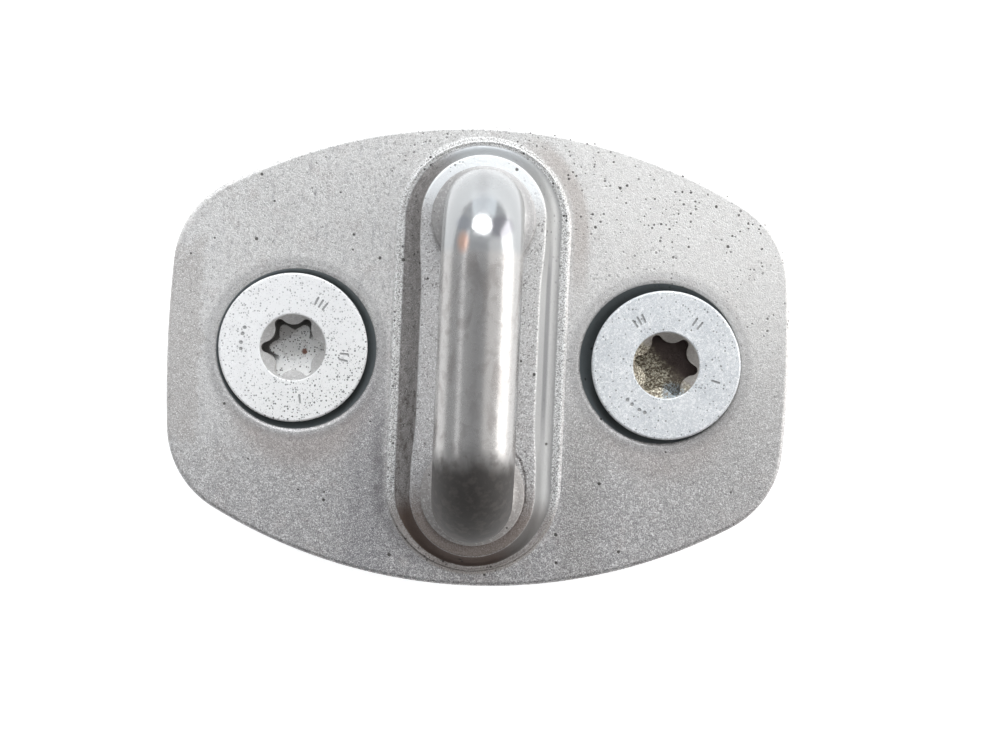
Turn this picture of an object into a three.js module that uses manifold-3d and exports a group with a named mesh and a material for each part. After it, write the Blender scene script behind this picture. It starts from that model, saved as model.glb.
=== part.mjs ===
// A car door striker: a thick steel plate with a round-bar loop that the door latch grips, and two
// loose flat-head screws that a plastic retainer each keeps in the plate until it is fitted.
// Millimetres. The origin is the centre of the plate's back face, which bolts to the door pillar.
// +X runs from screw to screw, +Y along the loop, and +Z out of the front face.
import * as THREE from 'three';
import { mergeVertices } from 'three/addons/utils/BufferGeometryUtils.js';
import Module from 'manifold-3d';

// Loop: one bent bar with a collar at each foot, riveted through the plate.
const ROD_DIAMETER = 8;
const LEG_SPACING = 29;
const LOOP_HEIGHT = 29; // plate face to the crossbar's outside
const BEND_RADIUS = 6.5; // of the bar's centreline
const COLLAR_DIAMETER = 11;
const COLLAR_HEIGHT = 0.6;
const COLLAR_FILLET = 1.1;
const SPIGOT_DIAMETER = 6.6;
const RIVET_DIAMETER = 10.4;
const RIVET_EDGE = 0.5;
const RIVET_DOME = 1.1;

// Plate. Its long and short edges are shallow arcs, joined by round corners.
const PLATE_THICKNESS = 5;
const LONG_EDGE_RADIUS = 56;
const SHORT_EDGE_RADIUS = 135;
const CORNER_RADIUS = 10.2;
const EDGE_ROUND = 0.5;
const BOSS_TO_LONG_EDGE = 1.55;
const POCKET_TO_SHORT_EDGE = 4.77;
const POCKET_TO_BOSS = 1;

// Raised oval that the loop stands on, with a low bead round its foot.
const BOSS_HEIGHT = 1.6;
const LAND_BESIDE_ROD = 2.15;
const LAND_ROUND_COLLAR = 1.05;
const SIDE_SLOPE = 2.3;
const END_SLOPE = 1.45;
const TOP_EDGE_ROUND = 0.15;
const BEAD_WIDTH = 0.9;
const END_BEAD_WIDTH = 0.35;
const BEAD_HEIGHT = 0.2;

// Screws: M8, with a countersunk head, a six-lobe socket and a waisted shank below the head.
const HEAD_DIAMETER = 15.8;
const HEAD_CHAMFER = 0.25;
const RIM_HEIGHT = 0.8; // top face to the start of the cone, chamfer included
const SCREW_LENGTH = 25;
const THREAD_DIAMETER = 8;
const THREAD_PITCH = 1.25;
const THREAD_DEPTH = 0.65;
const SHANK_DIAMETER = 7;
const TIP_CHAMFER = 1.1;
const SOCKET_ACROSS_TIPS = 6.75;
const SOCKET_ACROSS_FLANKS = 4.85;
const SOCKET_TIP_RADIUS = 0.546;
const SOCKET_DEPTH = 2.9;
const SOCKET_CHAMFER = 0.25;
const SOCKET_FLOOR_DIP = 0.9;

// Pockets: 90 degree seats, wider than the heads, so that the striker can be adjusted.
const HEAD_CLEARANCE = 0.65;
const LIP_RADIUS = 0.55;
const SCREW_HOLE_CLEARANCE = 1;

// Where each loose screw lies in its pocket, off the pocket's axis, and how far its socket is turned.
const LEFT_OFFSET = new THREE.Vector2(-0.34, 0.1);
const RIGHT_OFFSET = new THREE.Vector2(0.64, -0.16);
const LEFT_TURN = THREE.MathUtils.degToRad(2);
const RIGHT_TURN = THREE.MathUtils.degToRad(-8);

// Retainers: split plastic washers that snap over the thread and ride on its first turn.
const RETAINER_DIAMETER = 13;
const RETAINER_THICKNESS = 1.6;
const RETAINER_SLITS = 6;
const RETAINER_SLIT_WIDTH = 0.9;
const RETAINER_SLIT_DEPTH = 1.3;
const RETAINER_EDGE = 0.25;
const SCREW_LIFT = 2.5; // how far a loose screw comes out before its retainer stops it

// Gaps between pieces that touch on the real striker.
const SEAT_GAP = 0.1;
const SPIGOT_GAP = 0.1;
const SHANK_GAP = 0.2;

const ROUND_SEGMENTS = 40;
const ROD_SEGMENTS = 24;
const ARC_SEGMENTS = 7;
const BOSS_END_SEGMENTS = 16;
const BEND_STEPS = 8;

// Sizes that follow from the ones above.
const rodRadius = ROD_DIAMETER / 2;
const legY = LEG_SPACING / 2;
const plateauZ = PLATE_THICKNESS + BOSS_HEIGHT;
const plateauHalfWidth = rodRadius + LAND_BESIDE_ROD;
const plateauEndRadius = COLLAR_DIAMETER / 2 + LAND_ROUND_COLLAR;
const slopeHalfWidth = plateauHalfWidth + SIDE_SLOPE;
const slopeEnd = legY + plateauEndRadius + END_SLOPE;
const bossHalfWidth = slopeHalfWidth + BEAD_WIDTH;
const bossEnd = slopeEnd + END_BEAD_WIDTH;
const mouthRadius = HEAD_DIAMETER / 2 + HEAD_CLEARANCE;
const mouthZ = PLATE_THICKNESS - LIP_RADIUS * (1 - Math.SQRT1_2);
const lipRadius = mouthRadius + LIP_RADIUS * Math.SQRT1_2;
const screwHoleRadius = THREAD_DIAMETER / 2 + SCREW_HOLE_CLEARANCE / 2;
const pocketX = bossHalfWidth + POCKET_TO_BOSS + lipRadius;
const halfLength = pocketX + lipRadius + POCKET_TO_SHORT_EDGE;
const halfWidth = bossEnd + BOSS_TO_LONG_EDGE;
const rivetRecessRadius = RIVET_DIAMETER / 2 + SEAT_GAP + SPIGOT_GAP;
const rivetRecessDepth = RIVET_EDGE + RIVET_DOME + SEAT_GAP;
const seatedHeadTop = HEAD_DIAMETER / 2 + RIM_HEIGHT - mouthRadius + mouthZ;

const wasm = await Module();
wasm.setup();

// A closed three.js geometry as a manifold-3d solid.
function solidOf(geometry) {
  const bare = geometry.clone();
  bare.deleteAttribute('normal');
  bare.deleteAttribute('uv');
  const merged = mergeVertices(bare, 1e-4);
  const corners = [...merged.index.array];
  const triangles = corners.filter((_, i) => {
    const [a, b, c] = corners.slice(i - (i % 3), i - (i % 3) + 3);
    return a !== b && b !== c && c !== a;
  });
  const vertProperties = merged.attributes.position.array;
  return new wasm.Manifold(new wasm.Mesh({ numProp: 3, vertProperties, triVerts: new Uint32Array(triangles) }));
}

function geometryOf(solid) {
  const { vertProperties, triVerts } = solid.getMesh();
  const geometry = new THREE.BufferGeometry();
  geometry.setAttribute('position', new THREE.BufferAttribute(vertProperties, 3));
  geometry.setIndex(new THREE.BufferAttribute(triVerts, 1));
  return geometry.toNonIndexed();
}

// A solid of revolution about Z. The profile's points are (radius, z), from the lowest to the highest.
function revolved(profile, segments = ROUND_SEGMENTS) {
  const points = profile.map(([radius, z]) => new THREE.Vector2(radius, z));
  return new THREE.LatheGeometry(points, segments).rotateX(Math.PI / 2);
}

// Points of an arc in the (radius, z) plane of a profile.
function profileArc(centreRadius, centreZ, radius, fromAngle, toAngle, steps) {
  return Array.from({ length: steps + 1 }, (_, i) => {
    const angle = fromAngle + ((toAngle - fromAngle) * i) / steps;
    return [centreRadius + radius * Math.cos(angle), centreZ + radius * Math.sin(angle)];
  });
}

// The plate's outline: a corner arc touches the long edge's arc and the short edge's arc from inside.
function plateOutline() {
  const longCentre = new THREE.Vector2(0, halfWidth - LONG_EDGE_RADIUS);
  const shortCentre = new THREE.Vector2(halfLength - SHORT_EDGE_RADIUS, 0);
  const toLong = LONG_EDGE_RADIUS - CORNER_RADIUS;
  const toShort = SHORT_EDGE_RADIUS - CORNER_RADIUS;
  const between = shortCentre.clone().sub(longCentre);
  const along = (toLong ** 2 - toShort ** 2 + between.lengthSq()) / (2 * between.length());
  const aside = Math.sqrt(toLong ** 2 - along ** 2);
  const direction = between.normalize();
  const corner = longCentre.clone().addScaledVector(direction, along);
  corner.add(new THREE.Vector2(direction.y, -direction.x).multiplyScalar(aside));
  const shortAngle = corner.clone().sub(shortCentre).angle();
  const longAngle = corner.clone().sub(longCentre).angle();

  const outline = new THREE.Shape();
  for (const turn of [0, Math.PI]) {
    const side = turn === 0 ? 1 : -1;
    const arc = (x, y, radius, from, to) => outline.absarc(side * x, side * y, radius, turn + from, turn + to);
    arc(shortCentre.x, 0, SHORT_EDGE_RADIUS, -shortAngle, shortAngle);
    arc(corner.x, corner.y, CORNER_RADIUS, shortAngle, longAngle);
    arc(0, longCentre.y, LONG_EDGE_RADIUS, longAngle, Math.PI - longAngle);
    arc(-corner.x, corner.y, CORNER_RADIUS, Math.PI - longAngle, Math.PI - shortAngle);
  }
  return outline;
}

// One closed ring of the boss: straight sides halfWidth from the middle, and round ends that reach endY.
function ovalRing({ side, endY, z }) {
  const ring = [];
  for (const end of [1, -1]) {
    for (let i = 0; i <= BOSS_END_SEGMENTS; i++) {
      const angle = (Math.PI * i) / BOSS_END_SEGMENTS;
      ring.push([end * side * Math.cos(angle), end * (endY - side + side * Math.sin(angle)), z]);
    }
  }
  return ring;
}

// A closed solid through a stack of oval rings, from the lowest to the highest in the order that they are met.
function ovalLoft(rings) {
  const points = rings.flatMap(ovalRing);
  const count = points.length / rings.length;
  const triangles = [];
  for (let level = 0; level + 1 < rings.length; level++) {
    for (let i = 0; i < count; i++) {
      const a = level * count + i;
      const b = level * count + ((i + 1) % count);
      triangles.push(a, b, b + count, a, b + count, a + count);
    }
  }
  const top = (rings.length - 1) * count;
  for (let i = 1; i + 1 < count; i++) {
    triangles.push(0, i + 1, i);
    triangles.push(top, top + i, top + i + 1);
  }
  const geometry = new THREE.BufferGeometry();
  geometry.setAttribute('position', new THREE.Float32BufferAttribute(points.flat(), 3));
  geometry.setIndex(triangles);
  return geometry;
}

function boss() {
  const face = PLATE_THICKNESS;
  const sunk = face - BOSS_HEIGHT;
  const rings = [
    { side: bossHalfWidth, endY: bossEnd, z: sunk },
    { side: bossHalfWidth, endY: bossEnd, z: face },
    { side: bossHalfWidth - BEAD_WIDTH / 4, endY: bossEnd - END_BEAD_WIDTH / 4, z: face + BEAD_HEIGHT },
    { side: bossHalfWidth - BEAD_WIDTH / 2, endY: bossEnd - END_BEAD_WIDTH / 2, z: face + BEAD_HEIGHT },
    { side: slopeHalfWidth, endY: slopeEnd, z: face + BEAD_HEIGHT / 4 },
    {
      side: plateauHalfWidth + TOP_EDGE_ROUND,
      endY: legY + plateauEndRadius + TOP_EDGE_ROUND,
      z: plateauZ - TOP_EDGE_ROUND,
    },
    { side: plateauHalfWidth - TOP_EDGE_ROUND, endY: legY + plateauEndRadius - TOP_EDGE_ROUND, z: plateauZ },
  ];
  return solidOf(ovalLoft(rings));
}

// The boss is a little wider round each foot of the loop.
function footPad() {
  return revolved([
    [0, PLATE_THICKNESS - BOSS_HEIGHT],
    [plateauEndRadius + END_SLOPE, PLATE_THICKNESS - BOSS_HEIGHT],
    [plateauEndRadius + END_SLOPE, PLATE_THICKNESS],
    [plateauEndRadius + TOP_EDGE_ROUND, plateauZ - TOP_EDGE_ROUND],
    [plateauEndRadius - TOP_EDGE_ROUND, plateauZ],
    [0, plateauZ],
  ]);
}

// What is cut away for a screw: its hole, the 90 degree seat and the rolled lip at the mouth.
function pocketCut() {
  const seatDepth = mouthRadius - screwHoleRadius;
  const lip = profileArc(lipRadius, PLATE_THICKNESS - LIP_RADIUS, LIP_RADIUS, (Math.PI * 3) / 4, Math.PI / 2, 3);
  return revolved([
    [0, -1],
    [screwHoleRadius, -1],
    [screwHoleRadius, mouthZ - seatDepth],
    ...lip,
    [lipRadius, PLATE_THICKNESS + 1],
    [0, PLATE_THICKNESS + 1],
  ]);
}

// What is cut away for a foot of the loop: the spigot's hole and the recess that its rivet head fills.
function rivetCut() {
  const holeRadius = SPIGOT_DIAMETER / 2 + SPIGOT_GAP;
  return revolved([
    [0, -1],
    [rivetRecessRadius, -1],
    [rivetRecessRadius, rivetRecessDepth],
    [holeRadius, rivetRecessDepth],
    [holeRadius, plateauZ + 1],
    [0, plateauZ + 1],
  ]);
}

function plateGeometry() {
  const blank = new THREE.ExtrudeGeometry(plateOutline(), {
    depth: PLATE_THICKNESS - 2 * EDGE_ROUND,
    bevelThickness: EDGE_ROUND,
    bevelSize: EDGE_ROUND,
    bevelOffset: -EDGE_ROUND,
    bevelSegments: 2,
    curveSegments: ARC_SEGMENTS,
  }).translate(0, 0, EDGE_ROUND);
  let plate = solidOf(blank).add(boss());
  for (const y of [legY, -legY]) {
    plate = plate.add(solidOf(footPad().translate(0, y, 0)));
  }
  for (const y of [legY, -legY]) {
    plate = plate.subtract(solidOf(rivetCut().translate(0, y, 0)));
  }
  for (const x of [pocketX, -pocketX]) {
    plate = plate.subtract(solidOf(pocketCut().translate(x, 0, 0)));
  }
  return geometryOf(plate);
}

// The bar's centreline: up one leg from inside the collar, round a bend, along the crossbar and down again.
// Each straight is one step long, whatever its length.
class LoopLine extends THREE.Curve {
  static steps = 2 * BEND_STEPS + 3;

  getUtoTmapping(u) {
    return u;
  }

  getPoint(t, target = new THREE.Vector3()) {
    const footZ = plateauZ + SEAT_GAP + COLLAR_HEIGHT / 2;
    const bendZ = PLATE_THICKNESS + LOOP_HEIGHT - rodRadius - BEND_RADIUS;
    const halfBar = legY - BEND_RADIUS;
    const side = t < 0.5 ? 1 : -1;
    const step = LoopLine.steps * Math.min(t, 1 - t);
    if (step < 1) {
      return target.set(0, side * legY, footZ + (bendZ - footZ) * step);
    }
    const angle = (Math.PI / 2) * Math.min((step - 1) / BEND_STEPS, 1);
    const left = Math.min(1, LoopLine.steps - 2 * step);
    return target.set(
      0,
      side * (halfBar * left + BEND_RADIUS * Math.cos(angle)),
      bendZ + BEND_RADIUS * Math.sin(angle),
    );
  }
}

// A foot of the loop: rivet head, spigot, and the collar that rests on the boss and fairs into the bar.
function foot() {
  const collarZ = plateauZ + SEAT_GAP;
  const headZ = rivetRecessDepth - SEAT_GAP;
  const collarRadius = COLLAR_DIAMETER / 2;
  const rivetRadius = RIVET_DIAMETER / 2;
  const filletRadius = collarRadius - rodRadius;
  const fillet = Array.from({ length: 4 }, (_, i) => {
    const angle = (Math.PI / 2) * (i / 3);
    return [
      collarRadius - 0.2 - (filletRadius - 0.2) * Math.sin(angle),
      collarZ + COLLAR_HEIGHT + COLLAR_FILLET * (1 - Math.cos(angle)),
    ];
  });
  return revolved(
    [
      [0, headZ - RIVET_EDGE - RIVET_DOME],
      [rivetRadius * 0.5, headZ - RIVET_EDGE - RIVET_DOME * 0.85],
      [rivetRadius * 0.85, headZ - RIVET_EDGE - RIVET_DOME * 0.4],
      [rivetRadius, headZ - RIVET_EDGE],
      [rivetRadius, headZ],
      [SPIGOT_DIAMETER / 2, headZ],
      [SPIGOT_DIAMETER / 2, collarZ],
      [collarRadius, collarZ],
      [collarRadius, collarZ + COLLAR_HEIGHT - 0.15],
      ...fillet,
      [0, collarZ + COLLAR_HEIGHT + COLLAR_FILLET],
    ],
    ROD_SEGMENTS,
  );
}

function loopGeometry() {
  const section = new THREE.Shape().absarc(0, 0, rodRadius, 0, 2 * Math.PI);
  const bar = new THREE.ExtrudeGeometry(section, {
    extrudePath: new LoopLine(),
    steps: LoopLine.steps,
    curveSegments: ROD_SEGMENTS,
  });
  let loop = solidOf(bar);
  for (const y of [legY, -legY]) {
    loop = loop.add(solidOf(foot().translate(0, y, 0)));
  }
  return geometryOf(loop);
}

// Six-lobe socket outline. Each round tip meets the round flanks beside it at the point on their centres' line.
function socketOutline() {
  const tipCentre = SOCKET_ACROSS_TIPS / 2 - SOCKET_TIP_RADIUS;
  const flank = SOCKET_ACROSS_FLANKS / 2;
  const cos30 = Math.cos(Math.PI / 6);
  const flankRadius =
    (SOCKET_TIP_RADIUS ** 2 - tipCentre ** 2 - flank ** 2 + 2 * tipCentre * flank * cos30) /
    (2 * (flank - tipCentre * cos30 - SOCKET_TIP_RADIUS));
  const flankCentre = flank + flankRadius;
  const meet = Math.atan2(flankCentre / 2, flankCentre * cos30 - tipCentre);
  const outline = new THREE.Shape();
  for (let lobe = 0; lobe < 6; lobe++) {
    const tipAngle = (Math.PI / 3) * lobe;
    const flankAngle = tipAngle + Math.PI / 6;
    const inward = flankAngle + Math.PI;
    const swing = meet - Math.PI / 6;
    outline.absarc(
      tipCentre * Math.cos(tipAngle),
      tipCentre * Math.sin(tipAngle),
      SOCKET_TIP_RADIUS,
      tipAngle - meet,
      tipAngle + meet,
    );
    outline.absarc(
      flankCentre * Math.cos(flankAngle),
      flankCentre * Math.sin(flankAngle),
      flankRadius,
      inward + swing,
      inward - swing,
      true,
    );
  }
  return outline;
}

// What is cut out of the head, whose top face is at z = 0: the socket, its dished floor and its chamfer.
function socketCut() {
  const walls = new THREE.ExtrudeGeometry(socketOutline(), {
    depth: SOCKET_DEPTH + 1,
    bevelEnabled: false,
    curveSegments: 5,
  }).translate(0, 0, -SOCKET_DEPTH);
  const chamferRadius = SOCKET_ACROSS_TIPS / 2 + SOCKET_CHAMFER;
  const chamferDepth = (chamferRadius - SOCKET_ACROSS_FLANKS / 2) * Math.tan(Math.PI / 6);
  const dish = revolved([
    [0, -SOCKET_DEPTH - SOCKET_FLOOR_DIP],
    [SOCKET_ACROSS_FLANKS / 2 - 0.2, -SOCKET_DEPTH + 0.05],
    [0, -SOCKET_DEPTH + 0.05],
  ]);
  const mouth = revolved([
    [0, -chamferDepth],
    [SOCKET_ACROSS_FLANKS / 2, -chamferDepth],
    [chamferRadius, 0],
    [chamferRadius, 1],
    [0, 1],
  ]);
  return solidOf(walls).add(solidOf(dish)).add(solidOf(mouth));
}

// A screw with the middle of its head's top face at the origin, pointing down.
function screwGeometry(headTop) {
  const headRadius = HEAD_DIAMETER / 2;
  const shankRadius = SHANK_DIAMETER / 2;
  const threadRadius = THREAD_DIAMETER / 2;
  const coneEnd = -RIM_HEIGHT - (headRadius - shankRadius);
  const threadTop = -headTop - SCREW_LIFT - RETAINER_THICKNESS - 2 * SEAT_GAP;
  const tipZ = -SCREW_LENGTH;
  const turns = Math.floor((threadTop - tipZ - TIP_CHAMFER) / THREAD_PITCH);
  const thread = [];
  for (let turn = turns; turn > 0; turn--) {
    const root = threadTop - turn * THREAD_PITCH;
    thread.push([threadRadius - THREAD_DEPTH, root], [threadRadius, root + THREAD_PITCH / 2]);
  }
  const head = revolved([
    [0, coneEnd],
    [shankRadius, coneEnd],
    [headRadius, -RIM_HEIGHT],
    [headRadius, -HEAD_CHAMFER],
    [headRadius - HEAD_CHAMFER, 0],
    [0, 0],
  ]);
  const shank = revolved(
    [
      [0, tipZ],
      [threadRadius - TIP_CHAMFER, tipZ],
      ...thread,
      [shankRadius, threadTop],
      [shankRadius, coneEnd + 0.5],
      [0, coneEnd + 0.5],
    ],
    ROD_SEGMENTS,
  );
  return geometryOf(solidOf(head).add(solidOf(shank)).subtract(socketCut()));
}

// A retainer round the Z axis, with its top face at z = 0. Slits in its bore let it spring over the thread.
function retainerGeometry() {
  const bore = SHANK_DIAMETER / 2 + SHANK_GAP;
  const outer = RETAINER_DIAMETER / 2;
  const bottom = -RETAINER_THICKNESS;
  const ring = revolved(
    [
      [bore, bottom],
      [outer - RETAINER_EDGE, bottom],
      [outer, bottom + RETAINER_EDGE],
      [outer, -RETAINER_EDGE],
      [outer - RETAINER_EDGE, 0],
      [bore, 0],
      [bore, bottom],
    ],
    ROD_SEGMENTS,
  );
  let retainer = solidOf(ring);
  for (let slit = 0; slit < RETAINER_SLITS; slit++) {
    const cut = new THREE.BoxGeometry(bore + RETAINER_SLIT_DEPTH, RETAINER_SLIT_WIDTH, 3 * RETAINER_THICKNESS);
    cut.translate((bore + RETAINER_SLIT_DEPTH) / 2, 0, 0);
    cut.rotateZ((2 * Math.PI * slit) / RETAINER_SLITS);
    retainer = retainer.subtract(solidOf(cut));
  }
  return geometryOf(retainer);
}

const steel = new THREE.MeshStandardMaterial({ color: 0x9b9894, roughness: 0.45, metalness: 0.9 });
const polishedSteel = new THREE.MeshStandardMaterial({ color: 0x8c8a88, roughness: 0.2, metalness: 1 });
const zincPlated = new THREE.MeshStandardMaterial({ color: 0xc9ccce, roughness: 0.35, metalness: 0.85 });
const blackPlastic = new THREE.MeshStandardMaterial({ color: 0x1c1d1f, roughness: 0.6, metalness: 0 });

function named(name, geometry, material) {
  geometry.computeVertexNormals();
  const mesh = new THREE.Mesh(geometry, material);
  mesh.name = name;
  return mesh;
}

// A screw and its retainer, loose in the pocket at x. A seat at 45 degrees lifts the head by as much as
// the screw lies off its axis.
function looseScrew(side, x, offset, turn) {
  const headTop = seatedHeadTop + offset.length() + SEAT_GAP;
  const group = new THREE.Group();
  group.position.set(x + offset.x, offset.y, 0);
  const screw = named(side + '_screw', screwGeometry(headTop), zincPlated);
  screw.position.z = headTop;
  screw.rotation.z = turn;
  const retainer = named(side + '_retainer', retainerGeometry(), blackPlastic);
  retainer.position.z = -SCREW_LIFT - SEAT_GAP;
  group.add(screw, retainer);
  return group;
}

const striker = new THREE.Group();
striker.add(named('striker_plate', plateGeometry(), steel));
striker.add(named('striker_loop', loopGeometry(), polishedSteel));
striker.add(looseScrew('left', -pocketX, LEFT_OFFSET, LEFT_TURN));
striker.add(looseScrew('right', pocketX, RIGHT_OFFSET, RIGHT_TURN));

export default striker;
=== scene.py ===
import math

import bmesh
import bpy
from mathutils import Matrix, Vector
from mathutils.geometry import intersect_sphere_sphere_2d
from mathutils.noise import noise as noiseAt


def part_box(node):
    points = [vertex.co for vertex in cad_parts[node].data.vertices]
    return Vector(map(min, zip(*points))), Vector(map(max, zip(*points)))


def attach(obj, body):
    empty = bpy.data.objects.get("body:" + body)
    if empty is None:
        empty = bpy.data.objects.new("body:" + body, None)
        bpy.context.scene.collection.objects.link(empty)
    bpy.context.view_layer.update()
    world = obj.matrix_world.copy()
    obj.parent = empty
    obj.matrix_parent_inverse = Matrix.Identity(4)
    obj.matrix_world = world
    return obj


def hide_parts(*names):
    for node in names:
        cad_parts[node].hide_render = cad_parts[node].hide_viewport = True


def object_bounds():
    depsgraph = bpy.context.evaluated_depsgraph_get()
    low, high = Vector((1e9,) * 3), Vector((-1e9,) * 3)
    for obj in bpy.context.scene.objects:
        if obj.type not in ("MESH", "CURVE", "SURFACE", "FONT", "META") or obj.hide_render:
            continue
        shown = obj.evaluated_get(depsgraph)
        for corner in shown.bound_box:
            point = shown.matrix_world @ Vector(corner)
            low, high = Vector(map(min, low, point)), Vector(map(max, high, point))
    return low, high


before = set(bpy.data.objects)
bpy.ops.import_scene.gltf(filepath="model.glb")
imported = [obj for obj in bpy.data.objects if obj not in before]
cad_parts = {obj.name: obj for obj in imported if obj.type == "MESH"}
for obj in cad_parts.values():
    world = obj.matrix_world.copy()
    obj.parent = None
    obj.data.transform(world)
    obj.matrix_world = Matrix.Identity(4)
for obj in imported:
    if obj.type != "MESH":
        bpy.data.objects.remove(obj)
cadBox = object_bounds()
mm = 0.001  # sizes are in millimetres, and become metres where a mesh is made
print("frame loaded")


def deselectAll():
    if bpy.context.mode != "OBJECT":
        bpy.ops.object.mode_set(mode="OBJECT")
    bpy.ops.object.select_all(action="DESELECT")


def edit(piece):
    deselectAll()
    piece.select_set(True)
    bpy.context.view_layer.objects.active = piece
    bpy.ops.object.mode_set(mode="EDIT")


def pick(piece, kind, test):
    # in edit mode, leaves only the verts, edges or faces selected that pass the test
    modes = {"verts": "VERT", "edges": "EDGE", "faces": "FACE"}
    bpy.ops.mesh.select_mode(type=modes[kind])
    bpy.ops.mesh.select_all(action="DESELECT")
    work = bmesh.from_edit_mesh(piece.data)
    for element in getattr(work, kind):
        element.select_set(test(element))
    work.select_flush_mode()
    bmesh.update_edit_mesh(piece.data)


def startPoint(name, place):
    # a single vertex in edit mode, for an outline or a profile to grow from
    deselectAll()
    bpy.ops.mesh.primitive_plane_add(size=mm)
    piece = bpy.context.object
    piece.name = piece.data.name = name
    bpy.ops.object.mode_set(mode="EDIT")
    bpy.ops.mesh.select_mode(type="VERT")
    bpy.ops.mesh.select_all(action="SELECT")
    bpy.ops.mesh.merge(type="CENTER")
    bpy.ops.transform.translate(value=Vector(place) * mm)
    return piece


def extrudeBy(step):
    bpy.ops.mesh.extrude_region_move(TRANSFORM_OT_translate={"value": Vector(step) * mm})


def spinBy(turn, centre, steps, axis=(0, 0, 1)):
    # counterclockwise about the axis, in degrees
    bpy.ops.mesh.spin(steps=steps, angle=-math.radians(turn), center=Vector(centre) * mm, axis=axis)


def closeShell(piece):
    bpy.ops.mesh.select_all(action="SELECT")
    bpy.ops.mesh.remove_doubles(threshold=0.0005 * mm)
    bpy.ops.mesh.normals_make_consistent(inside=False)
    bpy.ops.object.mode_set(mode="OBJECT")
    return piece


def lathe(name, profile, centre=(0, 0), steps=96):
    # turns a profile of (radius, z) points about an upright line through centre
    x, y = centre
    points = [Vector((x + radius, y, z)) for radius, z in profile]
    piece = startPoint(name, points[0])
    for here, there in zip(points, points[1:]):
        extrudeBy(there - here)
    bpy.ops.mesh.select_all(action="SELECT")
    spinBy(360, (x, y, 0), steps)
    return closeShell(piece)


def arc(radius, z, size, start, end, steps):
    # points of a rounded corner in a lathe profile, around (radius, z)
    angles = [math.radians(start + (end - start) * i / steps) for i in range(steps + 1)]
    return [(radius + size * math.cos(a), z + size * math.sin(a)) for a in angles]


def prism(name, start, turns, bottom, height):
    # an outline of arcs and straight runs, filled and pulled up into a solid
    piece = startPoint(name, (*start, bottom))
    for turn in turns:
        if len(turn) == 2:
            extrudeBy((*turn, 0))
        else:
            angle, centre, steps = turn
            spinBy(angle, (*centre, 0), steps)
    bpy.ops.mesh.select_all(action="SELECT")
    bpy.ops.mesh.remove_doubles(threshold=0.0005 * mm)
    bpy.ops.mesh.edge_face_add()
    extrudeBy((0, 0, height))
    return closeShell(piece)


def combine(base, tool, how="UNION"):
    deselectAll()
    base.select_set(True)
    bpy.context.view_layer.objects.active = base
    modifier = base.modifiers.new("combine", "BOOLEAN")
    modifier.operation = how
    modifier.solver = "EXACT"
    modifier.object = tool
    bpy.ops.object.modifier_apply(modifier=modifier.name)
    bpy.data.objects.remove(tool)


def finishShading(piece, angle=35):
    deselectAll()
    piece.select_set(True)
    bpy.context.view_layer.objects.active = piece
    bpy.ops.object.shade_smooth_by_angle(angle=math.radians(angle))
    weighted = piece.modifiers.new("flatFaces", "WEIGHTED_NORMAL")
    weighted.keep_sharp = True
    weighted.weight = 80
    bpy.ops.object.modifier_apply(modifier=weighted.name)


def centreOf(node):
    low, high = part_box(node)
    return (low.x + high.x) / 2 / mm, (low.y + high.y) / 2 / mm, high.z / mm


cameraPlace = {
    "height": 280,
    "lens": 93.4,
    "sensorWidth": 36,
    "shiftX": 0.022,
    "shiftY": -0.018,
    "roll": 2.4,
    "nearest": 10,
}

cameraData = bpy.data.cameras.new("camera")
cameraData.lens = cameraPlace["lens"]
cameraData.sensor_width = cameraPlace["sensorWidth"]
cameraData.shift_x = cameraPlace["shiftX"]
cameraData.shift_y = cameraPlace["shiftY"]
cameraData.clip_start = cameraPlace["nearest"] * mm
camera = bpy.data.objects.new("camera", cameraData)
camera.location = (0, 0, cameraPlace["height"] * mm)
camera.rotation_euler = (0, 0, math.radians(cameraPlace["roll"]))
bpy.context.scene.collection.objects.link(camera)
bpy.context.scene.camera = camera

floorSize = {"width": 3000}

deselectAll()
bpy.ops.mesh.primitive_plane_add(size=floorSize["width"] * mm, location=(0, 0, cadBox[0][2]))
floor = bpy.context.object
floor.name = "floor"

# place, aim, width, height, brightness, colour
studioLights = {
    "rightWindow": ((485, 100, 96), (0, 0, 0), 350, 560, 2.9, (1.0, 0.99, 0.975)),
    "rightFill": ((330, 60, 400), (0, 0, 0), 400, 600, 0.55, (1.0, 0.975, 0.95)),
    "overhead": ((-40, 715, 515), (0, 0, 0), 740, 320, 6.6, (1.0, 0.995, 0.99)),
    "topPanel": ((0, 520, 110), (0, 0, 0), 480, 240, 1.0, (0.86, 0.94, 1.0)),
    "leftStrip": ((-370, 60, 333), (0, 0, 0), 80, 640, 1.1, (0.97, 0.98, 1.0)),
    "smallLamp": ((-6, 394, 308), (0, 12, 30), 24, 24, 210, (0.76, 0.88, 1.0)),
}
roundLights = ("overhead", "smallLamp")  # the others are rectangles

for name, (place, aim, width, height, brightness, colour) in studioLights.items():
    data = bpy.data.lights.new(name, "AREA")
    data.shape = "ELLIPSE" if name in roundLights else "RECTANGLE"
    data.size = width * mm
    data.size_y = height * mm
    filled = math.pi / 4 if name in roundLights else 1.0
    data.energy = brightness * math.pi * data.size * data.size_y * filled
    data.color = colour
    lamp = bpy.data.objects.new(name, data)
    lamp.location = Vector(place) * mm
    toward = (Vector(place) - Vector(aim)).normalized()
    across = Vector((0, 1, 0)).cross(toward).normalized()
    lamp.rotation_euler = Matrix((across, toward.cross(across), toward)).transposed().to_euler()
    lamp.visible_camera = False
    bpy.context.scene.collection.objects.link(lamp)

# a soft grey room, darker on the side of the lower leg: two rises along Y that add up,
# each with its start, its end and the strengths there
roomGlow = {"lowerLegSide": (-0.55, 0.0, 0.1, 0.6), "upperLegSide": (0.12, 0.6, 0.0, 0.2)}

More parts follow.
